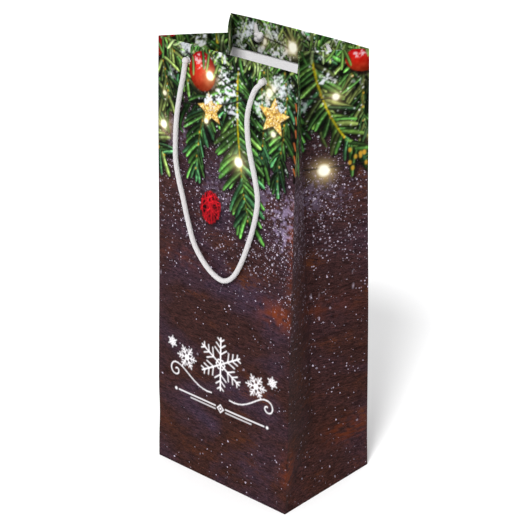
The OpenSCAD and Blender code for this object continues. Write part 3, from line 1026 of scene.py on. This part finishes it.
def woodAndInk(tree, shader, where, printed):
    # dark stained boards with a little loose snow, under the printed picture
    def times(first, second):
        return addMath(tree, "MULTIPLY", first, second)

    def mask(source, low, high, most=1):
        return addRamp(tree, source, [(low, (0, 0, 0)), (high, (most, most, most))])

    def streaks(tone, noise, low, dark, high, light):
        grain = addRamp(tree, noise, [(low, dark), (0.5, (1, 1, 1)), (high, light)])
        return addMix(tree, 1.0, tone, grain, "MULTIPLY")

    split = tree.nodes.new("ShaderNodeSeparateXYZ")
    tree.links.new(where, split.inputs[0])
    height = times(split.outputs[1], 1 / 0.36)
    stops = [(0.0, paint(*wood["low"])), (0.4, paint(*wood["middle"])), (0.72, paint(*wood["high"]))]
    base = addRamp(tree, height, stops)
    lumps = addNoise(tree, where, (1, 1.7, 1), 17, 4, 0.4)
    # the bluish boards show on the wide faces more than on the sides
    turns = times(split.outputs[0], 2 * math.pi / halfAround)
    middleTurn = 2 * math.pi * (2 * gussetHalf + bag["wide"] / 2) / halfAround
    wideFace = addMath(tree, "COSINE", addMath(tree, "SUBTRACT", turns, middleTurn), 0.0)
    wideFace = addMath(tree, "ADD", times(wideFace, 0.38), 0.55)
    tone = addMix(tree, times(mask(lumps, 0.44, 0.64, 0.9), wideFace), base, paint(*wood["cool"]))
    # grain runs across the bag, fine over coarse
    coarse = addNoise(tree, where, (95, 420, 1), 1.0, 6, 0.6)
    tone = streaks(tone, coarse, 0.34, (0.66, 0.63, 0.63), 0.68, (1.28, 1.2, 1.18))
    fineGrain = addNoise(tree, where, (330, 1100, 1), 1.0, 5, 0.6)
    tone = streaks(tone, fineGrain, 0.34, (0.5, 0.46, 0.46), 0.68, (1.65, 1.4, 1.32))
    rustWhere = addNoise(tree, where, (1, 2.2, 1), 21, 4, 0.5, (0.37, 0.11, 0))
    rustGrain = addNoise(tree, where, (230, 760, 1), 1.0, 5, 0.8, (3, 5, 0))
    rust = times(mask(rustWhere, 0.56, 0.74), mask(rustGrain, 0.40, 0.62, 0.9))
    tone = addMix(tree, rust, tone, paint(*wood["rust"]))
    pore = addNoise(tree, where, (1, 1, 1), 1500, 3)
    tone = streaks(tone, pore, 0.3, (0.5, 0.48, 0.5), 0.7, (1.7, 1.6, 1.62))
    # fine snow, two sizes of grain, thick where the drift map says
    drift = attributeNode(tree, "drift").outputs["Fac"] if printed else wood["baseDrift"]
    ragged = tree.nodes.new("ShaderNodeTexNoise")
    ragged.inputs["Scale"].default_value = 900
    ragged.inputs["Detail"].default_value = 2
    tree.links.new(where, ragged.inputs["Vector"])
    shifted = tree.nodes.new("ShaderNodeVectorMath")
    shifted.operation = "MULTIPLY_ADD"
    tree.links.new(ragged.outputs["Color"], shifted.inputs[0])
    shifted.inputs[1].default_value = (0.0011, 0.0011, 0)
    tree.links.new(where, shifted.inputs[2])
    for scale, size, keep in ((330, 0.34, 0.75), (720, 0.42, 1.0)):
        flake = tree.nodes.new("ShaderNodeTexVoronoi")
        flake.inputs["Scale"].default_value = scale
        tree.links.new(shifted.outputs[0], flake.inputs["Vector"])
        pick = tree.nodes.new("ShaderNodeSeparateColor")
        tree.links.new(flake.outputs["Color"], pick.inputs[0])
        here = addMath(tree, "LESS_THAN", pick.outputs[0], times(drift, keep))
        grain = addMath(tree, "LESS_THAN", flake.outputs["Distance"], times(pick.outputs[1], size))
        strength = addMath(tree, "ADD", times(pick.outputs[2], 0.58), 0.24)
        tone = addMix(tree, times(times(here, grain), strength), tone, paint(*wood["snow"]))
    if printed:
        ink = attributeNode(tree, "ink")
        left = addMix(tree, ink.outputs["Alpha"], tone, (0, 0, 0))
        tone = addMix(tree, 1.0, left, ink.outputs["Color"], "ADD")
    fine = addNoise(tree, where, (1, 1, 1), 700, 4)
    rough = addRamp(tree, fine, [(0.3, (0.46, 0.46, 0.46)), (0.7, (0.60, 0.60, 0.60))])
    tree.links.new(rough, shader.inputs["Roughness"])
    slow = addNoise(tree, where, (1, 1, 1), 55, 3)
    relief = addMath(tree, "ADD", times(fine, 0.12), slow)
    finishWith(tree, shader, tone, relief, 0.0005, 0.2)


def makePrinted():
    mat, tree, shader = materialWith("laminatedPrint", 0.5, 0.02)
    woodAndInk(tree, shader, attributeNode(tree, "flat").outputs["Vector"], True)
    return mat


def makeBasePrint():
    mat, tree, shader = materialWith("baseFlapPrint", 0.5, 0.18)
    woodAndInk(tree, shader, objectPlace(tree), False)
    return mat


def makeLining():
    mat, tree, shader = materialWith("whiteLining", 0.75, 0.3)
    where = objectPlace(tree)
    fibre = addNoise(tree, where, (1, 1, 1), 1500, 5)
    cloudy = addNoise(tree, where, (1, 1, 1), 60, 3)
    tone = addRamp(tree, fibre, [(0.3, paint(0.93, 0.925, 0.93)), (0.7, paint(0.98, 0.975, 0.98))])
    tone = addMix(tree, addMath(tree, "MULTIPLY", cloudy, 0.12), tone, paint(0.9, 0.89, 0.91))
    relief = addMath(tree, "ADD", addMath(tree, "MULTIPLY", fibre, 0.2), cloudy)
    finishWith(tree, shader, tone, relief, 0.0003, 0.3)
    return mat


def makeBoard():
    mat, tree, shader = materialWith("greyBoard", 0.9, 0.2)
    where = objectPlace(tree)
    fibre = addNoise(tree, where, (1, 1, 1), 1100, 6, 0.4)
    fleck = addNoise(tree, where, (1, 3, 1), 420, 2)
    tone = addRamp(tree, fibre, [(0.3, paint(0.66, 0.62, 0.57)), (0.7, paint(0.80, 0.77, 0.72))])
    dots = addRamp(tree, fleck, [(0.62, (0, 0, 0)), (0.72, (0.6, 0.6, 0.6))])
    tone = addMix(tree, dots, tone, paint(0.5, 0.46, 0.42))
    finishWith(tree, shader, tone, fibre, 0.0002, 0.6)
    return mat


printedMaterial = makePrinted()
baseMaterial = makeBasePrint()
liningMaterial = makeLining()
boardMaterial = makeBoard()
paperPair = [printedMaterial, liningMaterial]

paintSheet()
driftLayer = driftMap()
# the press prints a little darker than the paint
straight = np.clip(inkLayer / np.maximum(coverLayer, 0.004)[..., None], 0, 1) ** 1.22
cover = coverLayer[..., None]
inkSheet = np.concatenate([asLinear(straight) * cover, cover, driftLayer[..., None]], -1)
say("picture painted")

punch = {"diameter": 0.0046, "sides": 40, "reach": 0.006}


def punchHoles(piece, behind):
    # the rope holes, cut square through the leaning sheet
    n = punch["sides"]
    angle = np.arange(n) * 2 * math.pi / n
    r = punch["diameter"] / 2
    faces = [(k, (k + 1) % n, n + (k + 1) % n, n + k) for k in range(n)]
    faces += [tuple(range(n - 1, -1, -1)), tuple(range(n, 2 * n))]
    for side in (-1, 1):
        x = side * ropeSet["holePitch"] / 2 + r * np.cos(angle)
        z = r * np.sin(angle)
        rings = [np.stack([x, np.full_like(x, y), z], 1) for y in (-punch["reach"], punch["reach"])]
        points = onFront(np.vstack(rings), panelSet["holeHigh"])
        if behind:
            points = halfTurn(points)
        cutter = meshObject("punch", points, faces, paperPair, False, None, [1] * len(faces))
        mesh = cutter.data
        bm = bmesh.new()
        bm.from_mesh(mesh)
        bmesh.ops.recalc_face_normals(bm, faces=bm.faces)
        bm.to_mesh(mesh)
        bm.free()
        cut = piece.modifiers.new("hole", "BOOLEAN")
        cut.operation = "DIFFERENCE"
        cut.solver = "EXACT"
        cut.object = cutter
        bpy.context.view_layer.update()
        graph = bpy.context.evaluated_depsgraph_get()
        result = bpy.data.meshes.new_from_object(piece.evaluated_get(graph))
        piece.modifiers.remove(cut)
        old = piece.data
        piece.data = result
        bpy.data.meshes.remove(old)
        bpy.data.objects.remove(cutter)
        bpy.data.meshes.remove(mesh)
    piece.data.set_sharp_from_angle(angle=math.radians(creaseAngle))


def joinBag(piece, nodes, behind=None):
    if behind is not None:
        punchHoles(piece, behind)
    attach(piece, "bag")
    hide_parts(*nodes)


def topFold(u):
    # radius of the turned top edge: over the card on the wide panels, tight on the sides
    s = np.mod(u - 2 * gussetHalf, halfAround)
    widePart = smoothStep(0.0006, 0.0024, np.minimum(s, bag["wide"] - s))
    return bag["sideTopFold"] + (bag["wideTopFold"] - bag["sideTopFold"]) * widePart


# column spacing of the sheets, and their bands of rows as low, high and row height
sheetGrid = {
    "column": 0.00065,
    "inside": 0.003,
    "panelRows": [
        (0, 0.0008, 0.0002), (0.0008, 0.052, 0.0030), (0.052, 0.128, 0.00065),
        (0.128, 0.165, 0.0024), (0.165, 0.3285, 0.00065), (0.3285, 0.330, 0.0007),
    ],
    "sideRows": [
        (0, 0.0008, 0.0002), (0.0008, 0.052, 0.0011), (0.052, 0.165, 0.0030),
        (0.165, 0.3285, 0.00065), (0.3285, 0.330, 0.0007),
    ],
}


def makePanel(name, start, stop, folds, rows, nodes, behind=None):
    us = gridLines(start, stop, sheetGrid["column"], folds)
    zs = rowLines(sheetGrid[rows])
    u, z = np.meshgrid(us, zs)
    z[-1] = bag["high"] - topFold(us)
    outer = sheetPoint(u, z, 0)
    inner = sheetPoint(u, z, paper)
    dense = int((zs < bag["footHigh"] + 0.004).sum()) if folds else 0
    piece = paperPiece(name, outer, inner, u, z, paperPair, 10, True, dense)
    joinBag(piece, nodes, behind)
    print(f"{name}: {len(piece.data.polygons)} faces")


g = gussetHalf
frontStart = 2 * g
rightStart = 2 * g + bag["wide"]
backStart = 4 * g + bag["wide"]
makePanel("frontSheet", frontStart, rightStart, (), "panelRows", ["front_panel"], False)
makePanel("backSheet", backStart, around, (), "panelRows", ["back_panel"], True)
say("front and back folded")
for which, start in (("left", 0), ("right", rightStart)):
    makePanel(f"{which}Gusset", start, start + 2 * g, (start + g,), "sideRows",
              [f"{which}_gusset_front", f"{which}_gusset_rear", f"{which}_gusset_foot"])
say("gussets folded")


def makeHem(name, start, stop, folds, nodes, behind=None):
    # the turned edge, then the strip down inside
    us = gridLines(start, stop, sheetGrid["column"], folds)
    bend = topFold(us)
    level = bag["high"] - bend
    rows = []
    for t in np.linspace(0, math.pi, 11):
        rows.append((bend * (1 - math.cos(t)), level + bend * math.sin(t),
                     bend - (bend - paper) * math.cos(t), level + (bend - paper) * math.sin(t),
                     level + bend * t))
    for t in np.linspace(0, 1, 38)[1:]:
        z = level * (1 - t) + bag["hemBottom"] * t
        rows.append((2 * bend, z, 2 * bend - paper, z, level + bend * math.pi + (level - z)))
    deep, z, backDeep, backZ, q = (np.array([r[k] for r in rows]) for k in range(5))
    u = np.broadcast_to(us, deep.shape).copy()
    outer = sheetPoint(u, z, deep)
    inner = sheetPoint(u, backZ, backDeep)
    joinBag(paperPiece(name, outer, inner, u, q, paperPair, 6), nodes, behind)


makeHem("frontHem", frontStart, rightStart, (), ["front_hem"], False)
makeHem("backHem", backStart, around, (), ["back_hem"], True)
makeHem("leftHem", 0, 2 * g, (g,), ["left_hem_front", "left_hem_rear"])
makeHem("rightHem", rightStart, backStart, (3 * g + bag["wide"],), ["right_hem_front", "right_hem_rear"])
say("hems turned in")


def makeInnerSheet(name, start, stop, low, high, thick, mat, slotName, node, behind=None):
    step = sheetGrid["inside"]
    zs = np.linspace(low, high, max(2, int((high - low) / step)))
    u, z = np.meshgrid(gridLines(start, stop, step), zs)
    near, far = sheetPoint(u, z, paper), sheetPoint(u, z, thick)
    joinBag(paperPiece(name, near, far, u, z, [mat, mat], 1, False), [node], behind)


innerSet = {"inset": 0.002, "cardTop": bag["high"] - 0.0004, "tabWide": 0.020, "tabEnds": (0.0024, 0.304)}
inset = innerSet["inset"]
for which, start, stop in (("front", frontStart, rightStart), ("back", backStart, around)):
    makeInnerSheet(f"{which}CardSheet", start + inset, stop - inset, bag["hemBottom"], innerSet["cardTop"],
                   paper + bag["card"], boardMaterial, "card", f"{which}_card", which == "back")
makeInnerSheet("seamTab", around - innerSet["tabWide"], around - inset, *innerSet["tabEnds"],
               2 * paper, liningMaterial, "lining_paper", "side_seam_tab")
say("cards and seam tab laid in")

for nodeName, mat in (
    ("front_flap", baseMaterial),
    ("back_flap", baseMaterial),
    ("left_flap", liningMaterial),
    ("right_flap", liningMaterial),
    ("base_board", boardMaterial),
):
    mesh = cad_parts[nodeName].data
    mesh.materials.clear()
    mesh.materials.append(mat)


# knots behind the holes, and how far each cut end leans, in degrees
knotSet = {
    "across": 0.0082,
    "thick": 0.0058,
    "sit": 0.0042,
    "voxel": 0.00024,
    "ball": 0.0024,
    "tail": 0.0092,
    "snug": 0.92,
    "frayed": 13,
    "strand": 0.00022,
}
tails = {"front_knot_left": 12, "front_knot_right": -18, "back_knot_left": 14, "back_knot_right": 40}


def knotParts(turn, sit, way, pivotOut):
    # a trefoil, its tail, the stub through the wall and the ball that the rope turns on
    rope = ropeSet["thick"] / 2
    snug = rope * knotSet["snug"]
    reach = (knotSet["across"] / 2 - snug) / 3
    rise = knotSet["thick"] / 2 - snug
    t = np.linspace(0, 2 * math.pi, 161)[:-1] + turn
    loop = np.stack([
        reach * (np.sin(t) + 2 * np.sin(2 * t)),
        sit - rise * np.sin(3 * t),
        reach * (np.cos(t) - 2 * np.cos(2 * t)),
    ], 1)
    middle = np.array([0, sit, 0])
    s = np.linspace(0, 1, 30)[:, None]
    tail = middle + way * knotSet["tail"] * s + np.array([0.0006, 0.0003, 0]) * np.sin(3 * s)
    stub = np.linspace(0, 1, 24)[:, None] * np.array([0, -(sit + pivotOut), 0]) + middle
    swing = np.linspace(-1, 1, 25) * math.pi / 2
    ball = np.stack([0 * swing, -pivotOut + knotSet["ball"] * np.sin(swing), 0 * swing], 1)
    ballThick = np.maximum(knotSet["ball"] * np.cos(swing), 0.00003)
    tubes = (
        (np.vstack([loop, loop[:4]]), snug, 20),
        (tail, rope * (0.95 - 0.35 * s[:, 0] ** 2), 20),
        (stub, rope, 24),
        (ball, ballThick, 28),
    )
    allPoints = np.zeros((0, 3))
    allFaces = []
    for line, thick, sides in tubes:
        points, faces = tubeAlong(line, thick, sides)
        allFaces += [tuple(k + len(allPoints) for k in f) for f in faces]
        allPoints = np.vstack([allPoints, points])
    return allPoints, allFaces, tail[-1]


def makeKnot(node, side, pivotOut, behind):
    rng = np.random.default_rng(len(node) * 7 + tails[node] + 100)
    tilt = math.radians(tails[node])
    way = np.array([math.sin(tilt), 0, math.cos(tilt)])
    sit = knotSet["sit"] - (bag["backBow"] * 0.82 if behind else 0.0)
    points, faces, end = knotParts(rng.uniform(0, 2), sit, way, pivotOut)
    lump = meshObject("lump", points, faces, [cordMaterial])
    remesh = lump.modifiers.new("merge", "REMESH")
    remesh.mode = "VOXEL"
    remesh.voxel_size = knotSet["voxel"]
    even = lump.modifiers.new("even", "SMOOTH")
    even.factor = 0.5
    even.iterations = 4
    bpy.context.view_layer.update()
    graph = bpy.context.evaluated_depsgraph_get()
    solid = bpy.data.meshes.new_from_object(lump.evaluated_get(graph))
    bpy.data.objects.remove(lump)
    co = np.zeros(len(solid.vertices) * 3)
    solid.vertices.foreach_get("co", co)
    points = co.reshape(-1, 3)
    faces = [tuple(p.vertices) for p in solid.polygons]
    # loose strands at the cut end
    strand = np.linspace(0, 1, 9)[:, None]
    sideways, inward = np.cross(way, (0, 1, 0)), np.array([0, 1, 0])
    for k in range(knotSet["frayed"]):
        spread = rng.normal(0, 1, 3) * (0.42, 0.42, 0.2)
        start = end - way * 0.0012 + sideways * rng.normal(0, 0.0004) + inward * rng.normal(0, 0.0004)
        run = start + (way + spread * strand) * strand * rng.uniform(0.0014, 0.0026)
        more, moreFaces = tubeAlong(run, knotSet["strand"] * (1 - 0.5 * strand[:, 0]), 6)
        faces += [tuple(i + len(points) for i in f) for f in moreFaces]
        points = np.vstack([points, more])
    points = onFront(points + (side * ropeSet["holePitch"] / 2, 0, 0), panelSet["holeHigh"])
    if behind:
        points = halfTurn(points)
    knot = meshObject(node.replace("_knot_", "Knot_"), points, faces, [cordMaterial])
    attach(knot, "bag")
    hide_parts(node)


for whose, leftSide in (("front", -1), ("back", 1)):
    for name, side in (("left", leftSide), ("right", -leftSide)):
        makeKnot(f"{whose}_knot_{name}", side, ropeSet[f"{whose}Out"], whose == "back")
say("knots tied")

studio = {
    "floor": (0.93, 0.93, 0.935),
    "floorPale": (0.96, 0.96, 0.96),
    "floorSize": 30.0,
    "sky": 0.65,
    "key": 2.7,
    "keyWay": (-0.28, 0.62, -0.73),
    "keyAngle": 14,
    "panelSize": 1.2,
    "fillPanel": ((-1.3, -0.9, 0.9), (0, 0, 0.17), 3.0),  # place, aim and power
    "backPanel": ((0.2, 1.4, 1.3), (0, 0, 0.2), 5.0),
}


def addLight(name, kind, power, place, way):
    data = bpy.data.lights.new(name, kind)
    data.energy = power
    lamp = bpy.data.objects.new(name, data)
    lamp.location = place
    lamp.rotation_euler = way.to_track_quat("-Z", "Y").to_euler()
    bpy.context.scene.collection.objects.link(lamp)
    return data


def makeStudio():
    world = bpy.data.worlds.new("studioWorld")
    world.use_nodes = True
    sky = world.node_tree.nodes["Background"]
    sky.inputs["Color"].default_value = (1, 1, 1, 1)
    sky.inputs["Strength"].default_value = studio["sky"]
    bpy.context.scene.world = world
    mat, tree, shader = materialWith("paleFloor", 0.6, 0.2)
    cloudy = addNoise(tree, objectPlace(tree), (1, 1, 1), 3, 3)
    tone = addRamp(tree, cloudy, [(0.3, studio["floor"]), (0.7, studio["floorPale"])])
    tree.links.new(tone, shader.inputs["Base Color"])
    half = studio["floorSize"] / 2
    corners = [(-half, -half, 0), (half, -half, 0), (half, half, 0), (-half, half, 0)]
    meshObject("floor", corners, [(0, 1, 2, 3)], [mat], False)
    # a broad distant key, so that the floor stays evenly pale, and two soft panels
    key = addLight("keyLight", "SUN", studio["key"], (0, 0, 0), Vector(studio["keyWay"]))
    key.angle = math.radians(studio["keyAngle"])
    for name in ("fillPanel", "backPanel"):
        place, aim, power = studio[name]
        panel = addLight(name, "AREA", power, place, Vector(aim) - Vector(place))
        panel.shape = "DISK"
        panel.size = studio["panelSize"]
    bpy.context.scene.view_settings.view_transform = "Standard"


makeStudio()
say("studio lit")
